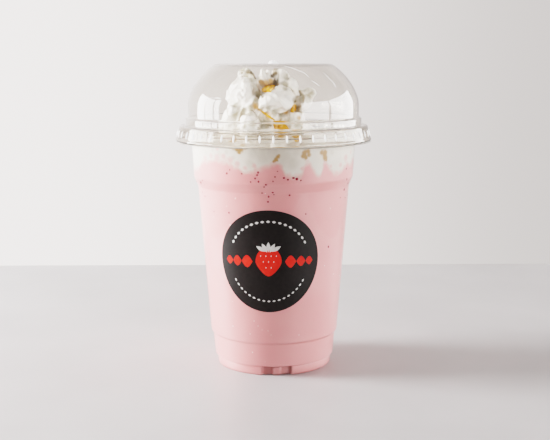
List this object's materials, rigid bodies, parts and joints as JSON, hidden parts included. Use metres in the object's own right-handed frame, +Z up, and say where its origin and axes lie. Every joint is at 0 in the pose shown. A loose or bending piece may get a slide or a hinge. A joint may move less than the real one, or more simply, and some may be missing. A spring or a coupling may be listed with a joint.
{
  "type": "strawberry milkshake",
  "caption": "Pink milkshake in a clear cup with a domed lid, topped with whipped cream and drops of syrup.",
  "frame": {"origin": "centre of the cup's foot, on the surface that it stands on", "axes": "+Z up along the cup's axis, -Y towards the side with the round sticker"},
  "size_m": [0.102, 0.102, 0.1599],
  "materials": {
    "clear_cup": "clear thin plastic, glossy",
    "clear_lid": "clear thin plastic, glossy",
    "milkshake": "smooth pink drink with fine seeds",
    "whipped_cream": "soft white cream, satin",
    "sticker": "coated paper, satin"
  },
  "bodies": {
    "root": {"cup": "clear_cup", "lid": "clear_lid", "milkshake": "milkshake", "whipped_cream": "whipped_cream", "sticker": "sticker"}
  },
  "joints": []
}
